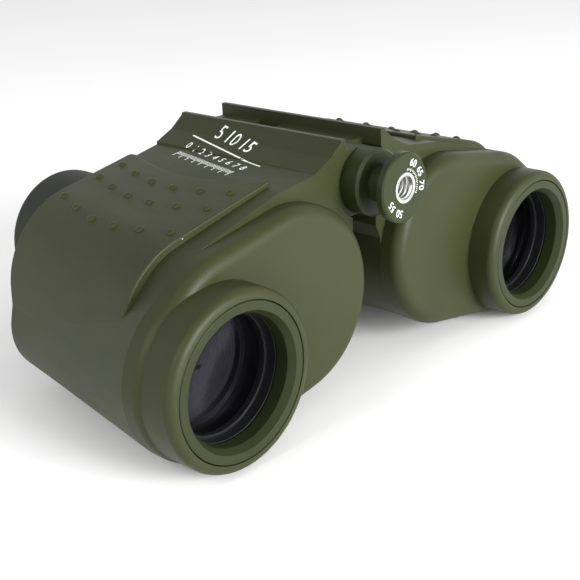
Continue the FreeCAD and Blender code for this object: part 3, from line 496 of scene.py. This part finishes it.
class Finishes:
    """Every finish, made once and handed out by the record's slot name."""

    def __init__(self) -> None:
        """Make the finishes that don't depend on a turned part's own axis."""
        self.by_slot: Dict[str, bpy.types.Material] = {
            "olive_housing": SatinPaint("olive_housing_paint", OLIVE).make(),
            "focus_ring": SatinPaint(
                "focus_ring_paint",
                OLIVE_DULL,
                roughness=0.52,
                grain=0.018 * MM,
                grain_per_metre=2600.0,
                edge_radius=0.2 * MM,
            ).make(),
            "eyecup_rubber": Rubber("eyecup_soft_rubber", CUP_GREY).make(),
            "seal_rubber": Rubber("black_seal_rubber", (0.016, 0.016, 0.016), 0.7).make(),
            "dark_steel": TurnedMetal("blackened_steel", (0.16, 0.16, 0.165), 0.38).make(),
            "spring_steel": TurnedMetal("bright_spring_strip", (0.55, 0.55, 0.54), 0.3).make(),
            "bronze": Moulded("sintered_bronze", (0.42, 0.27, 0.12), 0.42, 1.0).make(),
            "nylon": Moulded("natural_nylon", (0.68, 0.66, 0.58), 0.5).make(),
            "prism_glass": CoatedGlass("prism_ground_glass", PRISM_TINT, PRISM_SHEEN, 0.0, 0.1).make(),
            "coated_glass": CoatedGlass("lens_coated_glass", LENS_TINT, LENS_SHEEN, 0.0, 0.2).make(),
            "white_ink": Ink("white_printing").make(),
        }
        self.by_axis: Dict[Tuple[str, str], bpy.types.Material] = {}

    def slot(self, name: str) -> bpy.types.Material:
        """The finish of a slot that has one everywhere."""
        return self.by_slot[name]

    def turned(self, slot: str, place: str, axis: Point) -> bpy.types.Material:
        """The finish of a turned part, with its rings round the part's own axis.

        Args:
            slot: The record's slot: olive_ring, black_alloy or bright_insert.
            place: A short name for the axis.
            axis: A point on it.

        Returns:
            The material.
        """
        key = (slot, place)
        if key not in self.by_axis:
            name = f"{slot}_{place}"
            makers: Dict[str, Callable[[], bpy.types.Material]] = {
                "olive_ring": TurnedPaint(name, OLIVE_TURNED, axis).make,
                # The black alloy's edges are painted nine times brighter: a painted highlight, glints painted
                # along the baffle ridge crests
                "black_alloy": TurnedMetal(name, (0.009, 0.009, 0.01), 0.34, 0.1, axis, 0.004 * MM, 9.0).make,
                "bright_insert": TurnedMetal(name, (0.62, 0.62, 0.6), 0.3, 1.0, axis, 0.012 * MM).make,
            }
            self.by_axis[key] = makers[slot]()
        return self.by_axis[key]


# ------------------------------------------------------------------ mesh tools


def finish_piece(
    form: bmesh.types.BMesh,
    name: str,
    material: bpy.types.Material,
    body: str,
    smooth: bool = True,
) -> bpy.types.Object:
    """Turn a finished bmesh into a piece of the object.

    Args:
        form: The mesh, in place; it is freed.
        name: The piece's name.
        material: Its finish.
        body: The CAD body that it rides on.
        smooth: Whether its faces are shaded as curved.

    Returns:
        The new object.
    """
    bmesh.ops.remove_doubles(form, verts=form.verts, dist=1e-7)
    bmesh.ops.recalc_face_normals(form, faces=form.faces)
    for face in form.faces:
        face.smooth = smooth
    mesh = bpy.data.meshes.new(name)
    form.to_mesh(mesh)
    form.free()
    mesh.materials.append(material)
    piece = bpy.data.objects.new(name, mesh)
    bpy.context.scene.collection.objects.link(piece)
    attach(piece, body)
    log.info("%s rides on %s, %d faces", name, body, len(mesh.polygons))
    return piece


def text_form(words: str, height: float, thick: float) -> bmesh.types.BMesh:
    """Letters as a thin solid mesh, centred on the origin, reading along +X.

    Args:
        words: The generic figures to write.
        height: Height of a capital.
        thick: Thickness of the ink.

    Returns:
        The mesh, lying in the XY plane and rising along +Z.
    """
    curve = bpy.data.curves.new("figures", "FONT")
    curve.body = words
    curve.size = height / CAPITAL_SHARE
    curve.extrude = thick / 2
    curve.resolution_u = 3
    curve.align_x = "CENTER"
    curve.align_y = "CENTER"
    writer = bpy.data.objects.new("figures", curve)
    bpy.context.scene.collection.objects.link(writer)
    bpy.context.view_layer.update()
    mesh = bpy.data.meshes.new_from_object(writer.evaluated_get(bpy.context.evaluated_depsgraph_get()))
    form = bmesh.new()
    form.from_mesh(mesh)
    bmesh.ops.translate(form, verts=form.verts, vec=(0.0, 0.0, thick / 2))
    bpy.data.objects.remove(writer)
    bpy.data.curves.remove(curve)
    bpy.data.meshes.remove(mesh)
    return form


def bar_form(width: float, length: float, thick: float, cuts: int = 0) -> bmesh.types.BMesh:
    """A thin printed stroke along Y, lying in the XY plane and rising along +Z.

    Args:
        width: Size along X.
        length: Size along Y.
        thick: Thickness of the ink.
        cuts: Extra cuts along its length, so that it can follow a curved face.

    Returns:
        The mesh.
    """
    form = bmesh.new()
    bmesh.ops.create_cube(form, size=1.0)
    bmesh.ops.scale(form, verts=form.verts, vec=(width, length, thick))
    bmesh.ops.translate(form, verts=form.verts, vec=(0.0, 0.0, thick / 2))
    if cuts:
        long_edges = [e for e in form.edges if abs(e.verts[0].co.y - e.verts[1].co.y) > length / 2]
        bmesh.ops.subdivide_edges(form, edges=long_edges, cuts=cuts, use_grid_fill=True)
    return form


def absorb(whole: bmesh.types.BMesh, part: bmesh.types.BMesh, place: Matrix) -> None:
    """Move a small mesh into place and add it to a larger one.

    Args:
        whole: The mesh that grows.
        part: The mesh that is added; it is freed.
        place: Where it goes.
    """
    bmesh.ops.transform(part, matrix=place, verts=part.verts)
    carrier = bpy.data.meshes.new("carrier")
    part.to_mesh(carrier)
    part.free()
    whole.from_mesh(carrier)
    bpy.data.meshes.remove(carrier)


def surface_of(node: str) -> BVHTree:
    """A search tree over a CAD node's faces."""
    form = bmesh.new()
    form.from_mesh(frame["nodes"][node].data)
    tree = BVHTree.FromBMesh(form)
    form.free()
    return tree


def lay_down(form: bmesh.types.BMesh, tree: BVHTree, sink: float) -> None:
    """Drop a flat print onto a surface below it, keeping its own thickness.

    Args:
        form: The print; its height above z = 0 is kept.
        tree: The surface.
        sink: How far its underside goes into the surface.
    """
    for vert in form.verts:
        hit = tree.ray_cast(Vector((vert.co.x, vert.co.y, DROP_HEIGHT)), Vector((0.0, 0.0, -1.0)))[0]
        if hit is not None:
            vert.co.z = hit.z + vert.co.z - sink


# ---------------------------------------------------------------- sub-assemblies


@dataclass
class TripodSocket:
    """The tripod boss in front of the hinge: its thread, and the figures and ticks round its face."""

    finishes: Finishes
    bore: float = 3.2 * MM
    crest: float = 2.72 * MM
    pitch: float = 1.27 * MM
    depth: float = 7.6 * MM
    mouth: float = 0.2 * MM
    root_sink: float = 0.06 * MM
    steps_per_turn: int = 40
    figure_reach: float = 6.75 * MM
    figure_height: float = 2.0 * MM
    tick_reach: float = 5.15 * MM
    tick_width: float = 0.14 * MM
    ink: float = INK_THICKNESS
    figures: Tuple[Tuple[str, int], ...] = (("60", 62), ("65", 28), ("70", -6), ("55", 214), ("50", 248))

    def build(self) -> None:
        """Make the pieces of the socket."""
        self.thread()
        self.face_scale()

    def thread(self) -> bpy.types.Object:
        """The thread: a ridge turned and drawn back along the bore."""
        form = bmesh.new()
        half = self.pitch * 0.44
        root = self.bore + self.root_sink
        corners = [
            form.verts.new((root, self.mouth, 0.0)),
            form.verts.new((self.crest, self.mouth + half * 0.86, 0.0)),
            form.verts.new((self.crest, self.mouth + half * 1.14, 0.0)),
            form.verts.new((root, self.mouth + 2 * half, 0.0)),
        ]
        start = form.faces.new(corners)
        turns = (self.depth - 2 * half) / self.pitch
        steps = int(turns * self.steps_per_turn)
        bmesh.ops.spin(
            form,
            geom=[start, *start.edges, *start.verts],
            cent=(0.0, 0.0, 0.0),
            axis=(0.0, 1.0, 0.0),
            dvec=(0.0, self.pitch / self.steps_per_turn, 0.0),
            angle=2 * math.pi * steps / self.steps_per_turn,
            steps=steps,
            use_merge=False,
        )
        material = self.finishes.turned("bright_insert", "hinge", HINGE)
        return finish_piece(form, "tripod_socket_thread", material, "right_barrel")

    def face_scale(self) -> bpy.types.Object:
        """White figures and ticks for the eye distance, round the face of the boss."""
        whole = bmesh.new()
        upright = Matrix.Rotation(math.pi / 2, 4, "X")
        for words, degrees in self.figures:
            turn = Matrix.Rotation(math.radians(90 - degrees), 4, "Y")
            place = turn @ Matrix.Translation((0.0, 0.0, self.figure_reach)) @ upright
            absorb(whole, text_form(words, self.figure_height, self.ink), place)
        for degrees in range(-26, 83, 6):
            turn = Matrix.Rotation(math.radians(90 - degrees), 4, "Y")
            long_one = (degrees + 26) % 18 == 0
            length = (0.75 if long_one else 0.45) * MM
            place = turn @ Matrix.Translation((0.0, 0.0, self.tick_reach - length / 2)) @ upright
            absorb(whole, bar_form(self.tick_width, length, self.ink), place)
        bmesh.ops.translate(whole, verts=whole.verts, vec=(0.0, INK_SINK, 0.0))
        material = self.finishes.slot("white_ink")
        return finish_piece(whole, "tripod_boss_figures", material, "right_barrel", False)


@dataclass
class TopPlateScale:
    """The white printing on the right barrel's top plate: a rule with figures above and two rows below."""

    finishes: Finishes
    centre: Tuple[float, float] = (-17.6 * MM, 49.0 * MM)
    lean: float = math.radians(11)
    ink: float = INK_THICKNESS
    rule_width: float = 0.42 * MM
    rule_length: float = 34.0 * MM
    rule_cuts: int = 16
    ticks: int = 33
    tick_pitch: float = 0.86 * MM
    tick_width: float = 0.22 * MM
    tick_start: float = 6.2 * MM

    def build(self) -> bpy.types.Object:
        """Make the print and lay it on the plate."""
        flat = bmesh.new()
        rule = bar_form(self.rule_width, self.rule_length, self.ink, self.rule_cuts)
        absorb(flat, rule, Matrix.Identity(4))
        across = Matrix.Rotation(-math.pi / 2, 4, "Z")
        rows = (("5 10 15", 4.0, 4.0, 1.0), ("0  1  2  3  4  5  6  7  8", -3.4, 2.3, 0.0))
        for words, out, height, along in rows:
            place = Matrix.Translation((out * MM, along * MM, 0.0)) @ across
            absorb(flat, text_form(words, height * MM, self.ink), place)
        for i in range(self.ticks):
            length = (2.9 if i % 4 == 0 else 1.6) * MM
            along = (i - self.ticks // 2) * self.tick_pitch
            place = Matrix.Translation((-(self.tick_start + length / 2), along, 0.0)) @ across
            absorb(flat, bar_form(self.tick_width, length, self.ink), place)
        turn = Matrix.Translation((*self.centre, 0.0)) @ Matrix.Rotation(-self.lean, 4, "Z")
        bmesh.ops.transform(flat, matrix=turn, verts=flat.verts)
        lay_down(flat, surface_of("right_housing"), INK_SINK)
        material = self.finishes.slot("white_ink")
        return finish_piece(flat, "top_plate_scale", material, "right_barrel", False)


@dataclass
class FocusScale:
    """The focusing scale of one eyepiece: ticks on the turning ring and an index on the fixed flange."""

    finishes: Finishes
    side: Side
    ring_radius: float = 18.5 * MM
    flange_radius: float = 16.8 * MM
    tick_front: float = 79.95 * MM
    index_place: float = 77.8 * MM
    ink: float = INK_THICKNESS

    def around(self, degrees: float, radius: float, along: float) -> Matrix:
        """A place on a round face, with the print's own up pointing outwards.

        Args:
            degrees: Angle from straight up, towards the outside of the binoculars.
            radius: Distance from the eyepiece axis.
            along: Distance along Y.

        Returns:
            The placing matrix.
        """
        x, _, z = self.side.eyepiece
        turn = Matrix.Rotation(math.radians(self.side.sign * degrees), 4, "Y")
        return Matrix.Translation((x, along, z)) @ turn @ Matrix.Translation((0.0, 0.0, radius - INK_SINK))

    def build(self) -> None:
        """Make the ticks and the index."""
        ticks = bmesh.new()
        for i in range(-6, 7):
            length = 1.1 if i % 3 == 0 else 0.7
            stroke = bar_form(0.3 * MM, length * MM, self.ink)
            place = self.around(i * 6.0, self.ring_radius, self.tick_front + length / 2 * MM)
            absorb(ticks, stroke, place)
        ink = self.finishes.slot("white_ink")
        side = self.side.value
        finish_piece(ticks, f"{side}_focus_ticks", ink, f"{side}_focus", False)
        index = bmesh.new()
        bmesh.ops.create_cone(
            index, cap_ends=True, segments=24, radius1=0.5 * MM, radius2=0.42 * MM, depth=self.ink * 2
        )
        place = self.around(0.0, self.flange_radius, self.index_place)
        bmesh.ops.transform(index, matrix=place, verts=index.verts)
        finish_piece(index, f"{side}_focus_index", ink, f"{side}_barrel", False)


@dataclass
class Barrel:
    """One barrel's CAD pieces: each gets the finish of its slot, turned round its own axis."""

    finishes: Finishes
    side: Side

    def axis_of(self, node: str) -> Tuple[str, Point]:
        """The axis that a turned node was made round."""
        at_eye = any(word in node for word in ("eye", "carrier", "retainer", "focus", "pin", "field"))
        if at_eye:
            return f"{self.side.value}_eyepiece", self.side.eyepiece
        return f"{self.side.value}_objective", self.side.objective

    def dress(self) -> None:
        """Give every node of this barrel its finish."""
        for name, node in frame["nodes"].items():
            if name.startswith(self.side.value):
                place, axis = self.axis_of(name)
                dress_node(node, self.finishes, place, axis)


@dataclass
class Hinge:
    """The hinge's CAD pieces."""

    finishes: Finishes

    def dress(self) -> None:
        """Give every node on the hinge its finish."""
        for name, node in frame["nodes"].items():
            if not name.startswith((Side.LEFT.value, Side.RIGHT.value)):
                dress_node(node, self.finishes, "hinge", HINGE)


def slot_names() -> Dict[str, str]:
    """The record's material slot of every CAD node."""
    return {row["node"]: row["material_slot"] for row in frame["record"]["subparts"]}


def dress_node(node: bpy.types.Object, finishes: Finishes, place: str, axis: Point) -> None:
    """Assign a finish to a CAD node's material slots.

    Args:
        node: The CAD node.
        finishes: Where the finish comes from.
        place: A short name of the node's axis.
        axis: A point on it.
    """
    slot = slot_names()[node.name]
    if slot in finishes.by_slot:
        material = finishes.slot(slot)
    else:
        material = finishes.turned(slot, place, axis)
    for holder in node.material_slots:
        holder.material = material
    log.info("%s takes %s", node.name, material.name)


# ------------------------------------------------------------------------ stage


@dataclass
class Studio:
    """A pale floor, soft lamps and the camera."""

    camera_place: Point = (-213.24 * MM, -164.29 * MM, 76.88 * MM)
    azimuth: float = math.radians(-45.78)
    elevation: float = math.radians(21.25)
    roll: float = math.radians(-2.19)
    lens: float = 66.33
    sky_low: float = 1.5
    sky_high: float = 0.55

    def build(self) -> None:
        """Make everything round the object."""
        self.floor()
        self.lamps()
        self.camera()

    def floor(self) -> None:
        """A wide pale floor under the object."""
        form = bmesh.new()
        bmesh.ops.create_grid(form, x_segments=4, y_segments=4, size=FLOOR_REACH)
        bmesh.ops.translate(form, verts=form.verts, vec=(0.0, 0.0, cad_box[0].z - FLOOR_GAP))
        mesh = bpy.data.meshes.new("floor")
        form.to_mesh(mesh)
        form.free()
        shop = Shop("pale_floor")
        cloud = shop.noise(shop.place(), 3.0, 2.0)
        shop.shade(base_color=shop.mix(cloud, rgba(FLOOR_DARK), rgba(FLOOR_LIGHT)), roughness=0.9)
        mesh.materials.append(shop.material)
        floor = bpy.data.objects.new("floor", mesh)
        bpy.context.scene.collection.objects.link(floor)

    def lamp(self, name: str, place: Point, target: Point, size: float, power: float) -> None:
        """One square soft lamp.

        Args:
            name: Its name.
            place: Where it hangs.
            target: What it points at.
            size: Length of its side.
            power: Watts.
        """
        light = bpy.data.lights.new(name, "AREA")
        light.size = size
        light.energy = power
        holder = bpy.data.objects.new(name, light)
        toward = Vector(target) - Vector(place)
        holder.matrix_world = Matrix.Translation(place) @ toward.to_track_quat("-Z", "Y").to_matrix().to_4x4()
        bpy.context.scene.collection.objects.link(holder)

    def lamps(self) -> None:
        """Two soft lamps and an even surround."""
        middle = (0.0, 45 * MM, -20 * MM)
        self.lamp("front_lamp", (0.05, -1.0, 0.25), middle, 0.5, 21.0)
        self.lamp("side_lamp", (-0.95, 0.1, 0.7), middle, 0.4, 4.0)
        world = bpy.data.worlds.new("surround")
        world.use_nodes = True
        tree = world.node_tree
        sky = tree.nodes.new("ShaderNodeTexCoord")
        apart = tree.nodes.new("ShaderNodeSeparateXYZ")
        fade = tree.nodes.new("ShaderNodeMapRange")
        tree.links.new(sky.outputs["Generated"], apart.inputs["Vector"])
        tree.links.new(apart.outputs["Z"], fade.inputs["Value"])
        fade.inputs["From Min"].default_value = 0.0
        fade.inputs["From Max"].default_value = 0.8
        fade.inputs["To Min"].default_value = self.sky_low
        fade.inputs["To Max"].default_value = self.sky_high
        background = tree.nodes["Background"]
        background.inputs["Color"].default_value = (1.0, 1.0, 1.0, 1.0)
        tree.links.new(fade.outputs["Result"], background.inputs["Strength"])
        bpy.context.scene.world = world
        bpy.context.scene.view_settings.view_transform = "Standard"

    def camera(self) -> None:
        """The camera, above and outside the right barrel's front corner, looking back along the object."""
        a, e, r = self.azimuth, self.elevation, self.roll
        back = Vector((math.sin(a) * math.cos(e), -math.cos(a) * math.cos(e), math.sin(e)))
        right = (-back).cross(Vector((0.0, 0.0, 1.0))).normalized()
        up = right.cross(-back)
        across = math.cos(r) * right + math.sin(r) * up
        above = -math.sin(r) * right + math.cos(r) * up
        data = bpy.data.cameras.new("camera")
        data.lens = self.lens
        data.sensor_width = 36.0
        data.clip_start = 0.01
        data.clip_end = 20.0
        holder = bpy.data.objects.new("camera", data)
        turn = Matrix((across, above, back)).transposed().to_4x4()
        holder.matrix_world = Matrix.Translation(self.camera_place) @ turn
        bpy.context.scene.collection.objects.link(holder)
        bpy.context.scene.camera = holder


def main() -> None:
    """Dress the CAD pieces, add the visual ones, and set the stage."""
    logging.basicConfig(level=logging.INFO, format="%(name)s: %(message)s")
    finishes = Finishes()
    for side in Side:
        Barrel(finishes, side).dress()
        FocusScale(finishes, side).build()
    Hinge(finishes).dress()
    TripodSocket(finishes).build()
    TopPlateScale(finishes).build()
    Studio().build()


if __name__ == "__main__":
    main()
